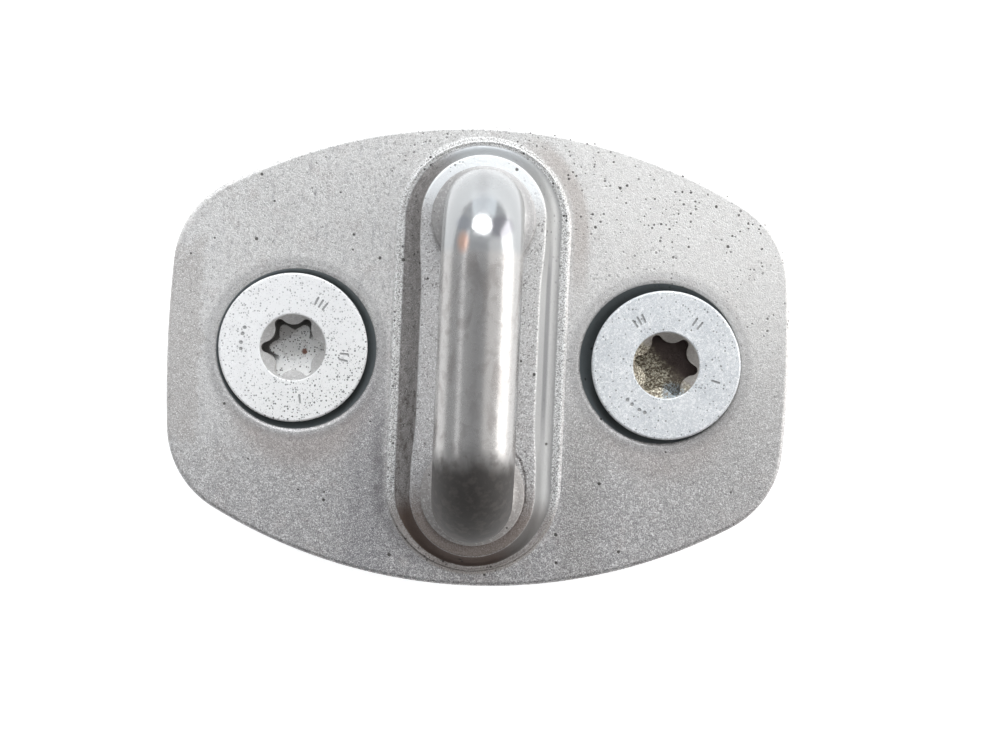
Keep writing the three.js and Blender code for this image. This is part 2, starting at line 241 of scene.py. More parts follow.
world = bpy.data.worlds.new("studio")
world.use_nodes = True
room = world.node_tree
background = room.nodes["Background"]
background.inputs["Color"].default_value = (0.95, 0.97, 1.0, 1)
aim = room.nodes.new("ShaderNodeSeparateXYZ")
room.links.new(room.nodes.new("ShaderNodeTexCoord").outputs["Generated"], aim.inputs[0])
sides = room.nodes.new("ShaderNodeMath")
sides.operation = "ADD"
for slot, (start, end, low, high) in enumerate(roomGlow.values()):
    part = room.nodes.new("ShaderNodeMapRange")
    room.links.new(aim.outputs["Y"], part.inputs["Value"])
    for setting, value in (("From Min", start), ("From Max", end), ("To Min", low), ("To Max", high)):
        part.inputs[setting].default_value = value
    room.links.new(part.outputs[0], sides.inputs[slot])
room.links.new(sides.outputs[0], background.inputs["Strength"])
bpy.context.scene.world = world
bpy.context.scene.view_settings.view_transform = "Standard"
print("camera, floor and lights ready")


plateSize = {
    "longEdgeRadius": 56,
    "shortEdgeRadius": 135,
    "cornerRadius": 10.2,
    "thickness": 5,
    "frontRound": 0.5,
    "backRound": 0.3,
}
bossSize = {
    "halfWidth": 9.35,
    "end": 22.85,
    "slopeHalfWidth": 8.45,
    "slopeEnd": 22.5,
    "landHalfWidth": 6.45,
    "landEnd": 21.1,
    "waist": 0.05,  # how much narrower the top is half way along
    "waistHalfLength": 12.5,
    "waistRunOut": 6,
    "sunk": 1.5,
    # side position from 0, outside, to 1 at the foot of the slope, and height
    "bead": [(0, 0), (0.12, 0.1), (0.35, 0.19), (0.6, 0.17), (0.85, 0.05), (1, 0.02)],
    # from the slope's foot to the land, and height
    "slope": [
        (0.12, 0.04), (0.25, 0.12), (0.4, 0.29), (0.55, 0.55), (0.7, 0.9), (0.84, 1.3),
        (0.91, 1.48), (0.96, 1.56), (1, 1.59), (1.08, 1.6),
    ],
    "beadRagged": 0.05,
    "raggedRise": (0.08, 0.2),  # only points between these heights are roughened
    "straightSteps": 52,
    "endSteps": 80,
}
pocketSize = {"x": 19.289, "seatRadius": 8.55, "holeRadius": 4.5, "lipRadius": 0.55, "backChamfer": 0.3}
rivetHole = {"legY": 14.5, "holeRadius": 3.4, "recessRadius": 5.4, "recessDepth": 1.7, "chamfer": 0.25}
cutPast = 1  # how far a cutter reaches beyond the surface


def buildBlank():
    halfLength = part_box("striker_plate")[1].x / mm
    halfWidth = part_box("striker_plate")[1].y / mm
    longRadius = plateSize["longEdgeRadius"]
    shortRadius = plateSize["shortEdgeRadius"]
    corner = plateSize["cornerRadius"]
    longCentre = Vector((0, halfWidth - longRadius))
    shortCentre = Vector((halfLength - shortRadius, 0))
    crossings = intersect_sphere_sphere_2d(longCentre, longRadius - corner, shortCentre, shortRadius - corner)
    cornerCentre = max(crossings, key=lambda point: point.x + point.y)
    toShort = cornerCentre - shortCentre
    toLong = cornerCentre - longCentre
    shortHalf = math.degrees(math.atan2(toShort.y, toShort.x))
    longEnd = math.degrees(math.atan2(toLong.y, toLong.x))
    turns = []
    for side in (1, -1):
        turns += [
            (2 * shortHalf, shortCentre * side, 36),
            (longEnd - shortHalf, cornerCentre * side, 36),
            (180 - 2 * longEnd, longCentre * side, 110),
            (longEnd - shortHalf, Vector((-cornerCentre.x, cornerCentre.y)) * side, 36),
        ]
    angle = math.radians(-shortHalf)
    start = shortCentre + shortRadius * Vector((math.cos(angle), math.sin(angle)))
    blank = prism("plate", start, turns, 0, plateSize["thickness"])
    edit(blank)
    for z, size in ((plateSize["thickness"], plateSize["frontRound"]), (0, plateSize["backRound"])):
        pick(blank, "edges", lambda edge: all(abs(vert.co.z / mm - z) < 0.01 for vert in edge.verts))
        bpy.ops.mesh.bevel(offset=size * mm, segments=5, affect="EDGES")
    return closeShell(blank)


def buildBoss():
    rings = []
    for share, rise in bossSize["bead"]:
        side = bossSize["halfWidth"] + share * (bossSize["slopeHalfWidth"] - bossSize["halfWidth"])
        end = bossSize["end"] + share * (bossSize["slopeEnd"] - bossSize["end"])
        rings.append((side, end, rise))
    for share, rise in bossSize["slope"]:
        side = bossSize["slopeHalfWidth"] + share * (bossSize["landHalfWidth"] - bossSize["slopeHalfWidth"])
        end = bossSize["slopeEnd"] + share * (bossSize["landEnd"] - bossSize["slopeEnd"])
        rings.append((side, end, rise))
    side, end, rise = rings[0]
    run = 2 * (end - side) / bossSize["straightSteps"]
    turns = [(0, run)] * bossSize["straightSteps"]
    turns += [(180, (0, end - side), bossSize["endSteps"])]
    turns += [(0, -run)] * bossSize["straightSteps"]
    turns += [(180, (0, side - end), bossSize["endSteps"])]
    sunk = bossSize["sunk"]
    boss = prism("boss", (side, side - end), turns, plateSize["thickness"] - sunk, sunk)
    edit(boss)
    pick(boss, "faces", lambda face: face.normal.z > 0.9)
    for (side, end, rise), (nextSide, nextEnd, nextRise) in zip(rings, rings[1:]):
        extrudeBy((0, 0, nextRise - rise))
        scale = nextSide / side
        stretch = (nextEnd - nextSide) / (end - side)
        # the straight sides move in, and each round end shrinks about its own centre
        work = bmesh.from_edit_mesh(boss.data)
        for vert in [vert for vert in work.verts if vert.select]:
            half = (end - side) * mm
            over = abs(vert.co.y) - half
            if over > 0:
                vert.co.y = math.copysign(half * stretch + over * scale, vert.co.y)
            else:
                vert.co.y *= stretch
            vert.co.x *= scale
        bmesh.update_edit_mesh(boss.data)
    # the top is a little narrower between the feet, and the bead is ragged
    beadTop = bossSize["raggedRise"][1]
    slopeRise = 1.3
    work = bmesh.from_edit_mesh(boss.data)
    for vert in work.verts:
        rise = vert.co.z / mm - plateSize["thickness"]
        height = min(max((rise - beadTop) / slopeRise, 0), 1)
        along = min(max((bossSize["waistHalfLength"] - abs(vert.co.y / mm)) / bossSize["waistRunOut"], 0), 1)
        vert.co.x *= 1 - bossSize["waist"] * height * along * along * (3 - 2 * along)
        if bossSize["raggedRise"][0] < rise < beadTop:
            ragged = noiseAt(vert.co / mm * 0.9) + 0.5 * noiseAt(vert.co / mm * 2.3)
            vert.co.z += bossSize["beadRagged"] * ragged * mm
    bmesh.update_edit_mesh(boss.data)
    return closeShell(boss)


def pocketCutter(x):
    lip = pocketSize["lipRadius"]
    top = plateSize["thickness"]
    hole = pocketSize["holeRadius"]
    chamfer = pocketSize["backChamfer"]
    lipCentre = pocketSize["seatRadius"] + lip * math.sqrt(0.5)
    mouthZ = top - lip * (1 - math.sqrt(0.5))
    profile = [(0, -cutPast), (hole + chamfer, -cutPast), (hole + chamfer, 0), (hole, chamfer)]
    profile += [(hole, mouthZ - (pocketSize["seatRadius"] - hole))]
    profile += arc(lipCentre, top - lip, lip, 135, 91, 8)
    profile += [(lipCentre, top + 0.001), (lipCentre, top + cutPast), (0, top + cutPast)]
    return lathe("pocketCutter", profile, (x, 0), 128)


def rivetCutter(y):
    hole = rivetHole["holeRadius"]
    recess = rivetHole["recessRadius"]
    depth = rivetHole["recessDepth"]
    chamfer = rivetHole["chamfer"]
    above = plateSize["thickness"] + 3 * cutPast
    profile = [(0, -cutPast), (recess + chamfer, -cutPast), (recess + chamfer, 0), (recess, chamfer)]
    profile += [(recess, depth), (hole, depth), (hole, above), (0, above)]
    return lathe("rivetCutter", profile, (0, y), 96)


plate = buildBlank()
combine(plate, buildBoss())
for y in (rivetHole["legY"], -rivetHole["legY"]):
    combine(plate, rivetCutter(y), "DIFFERENCE")
for x in (pocketSize["x"], -pocketSize["x"]):
    combine(plate, pocketCutter(x), "DIFFERENCE")
finishShading(plate, 40)
print("plate built")


loopSize = {
    "barRadius": 4,
    "bendRadius": 6.5,
    "top": 34,
    "sides": 72,
    "bendSteps": 28,
    "barSteps": 10,
    # from the rivet's dome up through the plate to the collar: radius and z
    "foot": [
        (0.8, 0.1), (2.2, 0.16), (3.4, 0.34), (4.3, 0.62), (4.9, 0.92), (5.15, 1.15), (5.2, 1.3), (5.2, 1.6),
        (3.3, 1.6), (3.3, 6.7), (5.1, 6.7), (5.35, 6.75), (5.47, 6.87), (5.5, 7.0), (5.5, 7.16), (5.44, 7.27),
        (5.3, 7.34), (4.95, 7.42), (4.62, 7.56), (4.36, 7.78), (4.16, 8.06), (4.04, 8.4), (4, 8.7),
    ],
}


def buildLoop():
    foot = loopSize["foot"]
    bar = loopSize["barRadius"]
    leg = rivetHole["legY"]
    bend = loopSize["bendRadius"]
    barZ = loopSize["top"] - bar
    deselectAll()
    bpy.ops.mesh.primitive_circle_add(
        vertices=loopSize["sides"], radius=foot[0][0] * mm, fill_type="NGON", location=(0, 0, 0),
    )
    loop = bpy.context.object
    loop.name = loop.data.name = "loop"
    bpy.ops.object.mode_set(mode="EDIT")
    bpy.ops.mesh.select_all(action="SELECT")
    bpy.ops.transform.translate(value=Vector((0, leg, foot[0][1])) * mm)
    axis = (0, leg * mm, 0)
    for (radius, z), (nextRadius, nextZ) in zip(foot, foot[1:]):
        extrudeBy((0, 0, nextZ - z))
        ratio = nextRadius / radius
        bpy.ops.transform.resize(value=(ratio, ratio, 1), center_override=axis)
    rise = (barZ - bend - foot[-1][1]) / loopSize["barSteps"]
    for _ in range(loopSize["barSteps"]):
        extrudeBy((0, 0, rise))
    spinBy(90, (0, leg - bend, barZ - bend), loopSize["bendSteps"], (1, 0, 0))
    run = (leg - bend) / loopSize["barSteps"]
    for _ in range(loopSize["barSteps"]):
        extrudeBy((0, -run, 0))
    bpy.ops.mesh.delete(type="ONLY_FACE")
    bpy.ops.object.mode_set(mode="OBJECT")
    mirror = loop.modifiers.new("mirror", "MIRROR")
    mirror.use_axis = (False, True, False)
    mirror.merge_threshold = 0.001 * mm
    bpy.ops.object.modifier_apply(modifier=mirror.name)
    edit(loop)
    return closeShell(loop)


loop = buildLoop()
finishShading(loop, 40)
print("loop built")


screwSize = {
    "headRadius": 7.9,
    "rim": 0.8,
    "rimRound": 0.25,
    "shankRadius": 3.5,
    "threadRadius": 4,
    "threadCore": 3.35,
    # one pitch of the thread: whether a point is at the crest, and its share of the pitch
    "thread": [(0, 0), (0, 0.06), (1, 0.46), (1, 0.56), (0, 0.96), (0, 1)],
    "threadSteps": 48,
    "pitch": 1.25,
    "length": 25,
    "tipChamfer": 1.1,
}
socketSize = {
    "tips": 6.75,
    "flanks": 4.85,
    "tipRadius": 0.546,
    "depth": 2.9,
    "chamfer": 0.25,
    "chamferAngle": 30,
    "floorDip": 0.9,
    "tipSteps": 12,
    "flankSteps": 14,
}
# plain marks struck into the head: angle round it, radius and length of each tick, and small round dots
stampMarks = {
    "depth": 0.09,
    "width": 0.22,
    "ticks": [
        (54, 5.5, 1.0), (59.5, 5.5, 1.0), (65, 5.5, 1.0),
        (-5, 5.5, 1.0), (-12, 5.5, 1.0),
        (-80, 5.5, 1.0),
    ],
    "dots": [(160, 5.5), (167, 5.5), (177, 5.5), (184, 5.5)],
    "dotRadius": 0.24,
    "tickRound": 0.08,
}


def socketPrism(x, y, top, turn):
    tipRadius = socketSize["tipRadius"]
    tipCentre = socketSize["tips"] / 2 - tipRadius
    flank = socketSize["flanks"] / 2
    cos30 = math.cos(math.radians(30))
    flankRadius = (tipRadius ** 2 - tipCentre ** 2 - flank ** 2 + 2 * tipCentre * flank * cos30)
    flankRadius /= 2 * (flank - tipCentre * cos30 - tipRadius)
    flankCentre = flank + flankRadius
    meet = math.degrees(math.atan2(flankCentre / 2, flankCentre * cos30 - tipCentre))

    def around(distance, angle):
        return x + distance * math.cos(math.radians(angle)), y + distance * math.sin(math.radians(angle))

    turns = []
    for lobe in range(6):
        at = turn + 60 * lobe
        turns.append((2 * meet, around(tipCentre, at), socketSize["tipSteps"]))
        turns.append((-2 * (meet - 30), around(flankCentre, at + 30), socketSize["flankSteps"]))
    startX, startY = around(tipCentre, turn)
    angle = math.radians(turn - meet)
    start = (startX + tipRadius * math.cos(angle), startY + tipRadius * math.sin(angle))
    return prism("socket", start, turns, top - socketSize["depth"], socketSize["depth"] + cutPast)


def socketMouth(x, y, top):
    inner = socketSize["flanks"] / 2 - 0.05
    outer = socketSize["tips"] / 2 + socketSize["chamfer"]
    drop = (outer - inner) * math.tan(math.radians(socketSize["chamferAngle"]))
    reach = 0.5
    wide = outer + reach / math.tan(math.radians(socketSize["chamferAngle"]))
    profile = [(0, top - drop), (inner, top - drop), (wide, top + reach), (0, top + reach)]
    return lathe("socketMouth", profile, (x, y), 96)


def socketFloor(x, y, top):
    bottom = top - socketSize["depth"]
    rim = socketSize["flanks"] / 2 - 0.2
    above = bottom + 0.02
    return lathe("socketFloor", [(0, bottom - socketSize["floorDip"]), (rim, above), (0, above)], (x, y), 64)


def tickCutter(x, y, top, angle, radius, length):
    # a short tick with rounded ends that points at the socket
    deselectAll()
    bpy.ops.mesh.primitive_cube_add(size=1)
    tick = bpy.context.object
    bpy.ops.object.mode_set(mode="EDIT")
    bpy.ops.mesh.select_all(action="SELECT")
    bpy.ops.transform.resize(value=(length * mm, stampMarks["width"] * mm, 2 * stampMarks["depth"] * mm))
    pick(tick, "edges", lambda edge: abs(edge.verts[0].co.z - edge.verts[1].co.z) > 0.01 * mm)
    bpy.ops.mesh.bevel(offset=stampMarks["tickRound"] * mm, segments=3, affect="EDGES")
    closeShell(tick)
    around = Matrix.Rotation(math.radians(angle), 4, "Z") @ Matrix.Translation((radius * mm, 0, 0))
    tick.data.transform(Matrix.Translation(Vector((x, y, top)) * mm) @ around)
    return tick


def dotCutter(x, y, top, angle, radius):
    across = math.radians(angle)
    centre = (x + radius * math.cos(across), y + radius * math.sin(across))
    wide = stampMarks["dotRadius"]
    depth = stampMarks["depth"]
    above = top + 0.02
    profile = [(0, top - depth), (wide * 0.7, top - depth), (wide, above), (0, above)]
    return lathe("dotCutter", profile, centre, 16)


def buildThread(x, y, top, bottom):
    # one pitch of the profile, carried round and up, and cut off square at both ends
    pitch = screwSize["pitch"]
    core = screwSize["threadCore"]
    crest = screwSize["threadRadius"] - 0.01
    points = [Vector((crest if outer else core, 0, share * pitch)) for outer, share in screwSize["thread"]]
    thread = startPoint("thread", points[0])
    for here, there in zip(points, points[1:]):
        extrudeBy(there - here)
    bpy.ops.object.mode_set(mode="OBJECT")
    screw = thread.modifiers.new("screw", "SCREW")
    screw.axis = "Z"
    screw.angle = 2 * math.pi
    screw.screw_offset = pitch * mm
    screw.iterations = int((top - bottom) / pitch) + 4  # enough to reach past both ends
    screw.steps = screw.render_steps = screwSize["threadSteps"]
    screw.use_merge_vertices = True
    bpy.ops.object.modifier_apply(modifier=screw.name)
    startsBelow = 2.29 * pitch  # the first turns lie below the tip and are cut away
    thread.data.transform(Matrix.Translation(Vector((x, y, bottom - startsBelow)) * mm))
    edit(thread)
    bpy.ops.mesh.select_all(action="SELECT")
    bpy.ops.mesh.remove_doubles(threshold=0.002 * mm)
    for z, facing in ((bottom, -1), (top, 1)):
        bpy.ops.mesh.select_all(action="SELECT")
        bpy.ops.mesh.bisect(
            plane_co=Vector((x, y, z)) * mm, plane_no=(0, 0, facing), clear_outer=True,
            use_fill=True, threshold=0.00001 * mm,
        )
    return closeShell(thread)


def buildScrew(side, turn, stampTurn):
    x, y, top = centreOf(side + "_screw")
    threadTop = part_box(side + "_retainer")[0].z / mm - 0.1
    head = screwSize["headRadius"]
    shank = screwSize["shankRadius"]
    outside = screwSize["threadRadius"]
    rim = top - screwSize["rim"]
    small = screwSize["rimRound"]
    tip = top - screwSize["length"]
    core = screwSize["threadCore"] - 0.1
    chamfer = screwSize["tipChamfer"]
    neck = rim - (head - shank)  # where the head's cone of 90 degrees meets the shank
    screw = buildThread(x, y, threadTop + 0.2, tip)
    # the thread fades out below the shank and at the chamfered tip
    limit = [(0, tip), (outside - chamfer, tip), (outside + 0.1, tip + chamfer + 0.1)]
    limit += [(outside + 0.1, threadTop - 0.7), (shank - 0.12, threadTop)]
    limit += [(shank - 0.12, threadTop + 1), (0, threadTop + 1)]
    combine(screw, lathe("threadLimit", limit, (x, y), 96), "INTERSECT")
    profile = [(0, threadTop - 1), (core, threadTop - 1), (core, threadTop - 0.2), (shank, threadTop - 0.05)]
    profile += [(shank, neck - 0.1), (shank + 0.1, neck + 0.1)]
    profile += [(head - 0.12, rim - 0.12), (head, rim + 0.05)]
    profile += arc(head - small, top - small, small, 0, 90, 6)
    profile += [(0, top)]
    combine(screw, lathe("head", profile, (x, y), 128))
    screw.name = screw.data.name = side + "Screw"
    combine(screw, socketPrism(x, y, top, turn), "DIFFERENCE")
    combine(screw, socketFloor(x, y, top), "DIFFERENCE")
    combine(screw, socketMouth(x, y, top), "DIFFERENCE")
    for angle, radius, length in stampMarks["ticks"]:
        combine(screw, tickCutter(x, y, top, angle + stampTurn, radius, length), "DIFFERENCE")
    for angle, radius in stampMarks["dots"]:
        combine(screw, dotCutter(x, y, top, angle + stampTurn, radius), "DIFFERENCE")
    edit(screw)
    bpy.ops.mesh.select_all(action="SELECT")
    bpy.ops.mesh.dissolve_degenerate(threshold=0.001 * mm)
    bpy.ops.object.mode_set(mode="OBJECT")
    finishShading(screw, 30)
    return screw


# how far each socket and its marks are turned, in degrees
screwTurns = {"left": (2, 0), "right": (-8, 64)}

leftScrew = buildScrew("left", *screwTurns["left"])
rightScrew = buildScrew("right", *screwTurns["right"])
print("screws built")


retainerSize = {
    "radius": 6.5,
    "bore": 3.7,
    "thickness": 1.6,
    "edgeRound": 0.3,
    "boreChamfer": 0.15,
    "slits": 6,
    "slitWidth": 0.9,
    "slitDepth": 1.3,
    "slitRound": 0.3,
}


def buildRetainer(side):
    x, y, top = centreOf(side + "_retainer")
    small = retainerSize["edgeRound"]
    bottom = top - retainerSize["thickness"]
    outer = retainerSize["radius"]
    bore = retainerSize["bore"]
    chamfer = retainerSize["boreChamfer"]
    profile = [(bore, bottom + chamfer), (bore + chamfer, bottom)]
    profile += arc(outer - small, bottom + small, small, -90, 0, 5)
    profile += arc(outer - small, top - small, small, 0, 90, 5)
    profile += [(bore + chamfer, top), (bore, top - chamfer), (bore, bottom + chamfer)]
    ring = lathe(side + "Retainer", profile, (x, y), 96)
    reach = bore + retainerSize["slitDepth"]
    bladeHeight = 6
    for slit in range(retainerSize["slits"]):
        deselectAll()
        bpy.ops.mesh.primitive_cube_add(size=mm)
        blade = bpy.context.object
        bpy.ops.object.mode_set(mode="EDIT")
        bpy.ops.mesh.select_all(action="SELECT")
        bpy.ops.transform.resize(value=(reach, retainerSize["slitWidth"], bladeHeight))
        bpy.ops.transform.translate(value=Vector((reach / 2, 0, 0)) * mm)
        pick(blade, "edges", lambda edge: edge.verts[0].co.x > mm and edge.verts[1].co.x > mm
             and abs(edge.verts[0].co.z - edge.verts[1].co.z) > mm)
        bpy.ops.mesh.bevel(offset=retainerSize["slitRound"] * mm, segments=4, affect="EDGES")
        bpy.ops.object.mode_set(mode="OBJECT")
        turn = Matrix.Rotation(2 * math.pi * slit / retainerSize["slits"], 4, "Z")
        blade.data.transform(Matrix.Translation(Vector((x, y, bottom)) * mm) @ turn)
        combine(ring, blade, "DIFFERENCE")
    finishShading(ring, 35)
    return ring


leftRetainer = buildRetainer("left")
rightRetainer = buildRetainer("right")
print("retainers built")


# materials: object coordinates in millimetres drive every pattern
def newMaterial(name):
    material = bpy.data.materials.new(name)
    material.use_nodes = True
    return material.node_tree, material


def node(tree, kind, settings=None, **inputs):
    # inputs go by name, or by number as i0 and i1 where their names are the same
    made = tree.nodes.new(kind)
    for key, value in (settings or {}).items():
        setattr(made, key, value)
    for key, value in inputs.items():
        socket = made.inputs[int(key[1:])] if key[0] == "i" and key[1:].isdigit() else made.inputs[key]
        if isinstance(value, bpy.types.NodeSocket):
            tree.links.new(value, socket)
        else:
            socket.default_value = value
    return made


def maths(tree, operation, first, second=0.0):
    return node(tree, "ShaderNodeMath", {"operation": operation}, i0=first, i1=second).outputs[0]


def times(tree, first, *others):
    for other in others:
        first = maths(tree, "MULTIPLY", first, other)
    return first


def plus(tree, first, *others):
    for other in others:
        first = maths(tree, "ADD", first, other)
    return first


def fade(tree, value, low, high):
    # 0 where value is at low, 1 where it is at high, smooth between
    found = node(tree, "ShaderNodeMapRange", {"interpolation_type": "SMOOTHSTEP"}, Value=value)
    rising = high > low
    found.inputs["From Min"].default_value = low if rising else high
    found.inputs["From Max"].default_value = high if rising else low
    found.inputs["To Min"].default_value = 0 if rising else 1
    found.inputs["To Max"].default_value = 1 if rising else 0
    return found.outputs[0]


def between(tree, value, low, high, soft):
    return times(tree, fade(tree, value, low - soft, low + soft), fade(tree, value, high + soft, high - soft))


def minus(tree, first, second):
    return maths(tree, "SUBTRACT", first, second)


def larger(tree, first, second):
    return maths(tree, "MAXIMUM", first, second)


def blend(tree, amount, first, second):
    made = node(tree, "ShaderNodeMix", {"data_type": "RGBA", "blend_type": "MIX", "clamp_result": False})
    for socket, value in ((made.inputs[0], amount), (made.inputs[6], first), (made.inputs[7], second)):
        if isinstance(value, bpy.types.NodeSocket):
            tree.links.new(value, socket)
        else:
            socket.default_value = value if isinstance(value, (int, float)) else (*value, 1)
    return made.outputs[2]


def paint(tree, tone, layers):
    # lays each (mask, strength, colour) over the tone in turn
    for mask, strength, colour in layers:
        tone = blend(tree, times(tree, mask, strength), tone, colour)
    return tone


def noise(tree, place, scale, detail=3.0, roughness=0.5, distortion=0.0):
    made = node(tree, "ShaderNodeTexNoise", Vector=place, Scale=scale, Detail=detail, Roughness=roughness)
    made.inputs["Distortion"].default_value = distortion
    return made.outputs[0]


def stretched(tree, place, shares):
    return node(tree, "ShaderNodeMapping", Vector=place, Scale=shares).outputs[0]


def spots(tree, place, scale, size, keep):
    # small ragged spots: one in each cell of a grid, of which a share is kept
    cells = node(tree, "ShaderNodeTexVoronoi", Vector=place, Scale=scale)
    which = node(tree, "ShaderNodeSeparateColor", Color=cells.outputs["Color"]).outputs
    wide = times(tree, which[1], size)
    ragged = plus(tree, cells.outputs["Distance"], times(tree, noise(tree, place, scale * 4, 1), size * 0.8))
    near = fade(tree, minus(tree, ragged, wide), size * 0.75, size * 0.35)
    return times(tree, near, maths(tree, "LESS_THAN", which[0], keep))


def placeOf(tree):
    place = node(tree, "ShaderNodeTexCoord").outputs["Object"]
    place = node(tree, "ShaderNodeVectorMath", {"operation": "SCALE"}, Vector=place, Scale=1000.0).outputs[0]
    return place, *node(tree, "ShaderNodeSeparateXYZ", Vector=place).outputs


def farFrom(tree, x, y, centre):
    # distance from an upright line
    across = minus(tree, x, centre[0])
    along = minus(tree, y, centre[1])
    return maths(tree, "SQRT", plus(tree, times(tree, across, across), times(tree, along, along)))


def ranged(tree, value, low, high):
    return plus(tree, times(tree, value, high - low), low)


def applyTo(tree, tone, roughness, height, depth):
    shader = tree.nodes["Principled BSDF"]
    tree.links.new(tone, shader.inputs["Base Color"])
    tree.links.new(roughness, shader.inputs["Roughness"])
    bump = node(tree, "ShaderNodeBump", Height=height, Distance=depth * mm, Strength=1.0)
    tree.links.new(bump.outputs[0], shader.inputs["Normal"])
    return shader


def groundSteel(tree, place):
    # the grain that the plate and the loop's feet share
    grain = noise(tree, place, 3.5, 4, 0.62, 0.9)
    fine = noise(tree, place, 8.0, 3, 0.65, 0.4)
    return grain, fine


def curledFlecks(tree, place, fine):
    # a curling noise, and thin short flecks where it crosses its middle
    curls = noise(tree, place, 3.6, 2, 0.5, 1.6)
    worms = fade(tree, maths(tree, "ABSOLUTE", minus(tree, curls, 0.5)), 0.06, 0.02)
    worms = times(tree, worms, fade(tree, fine, 0.47, 0.53))
    return curls, worms


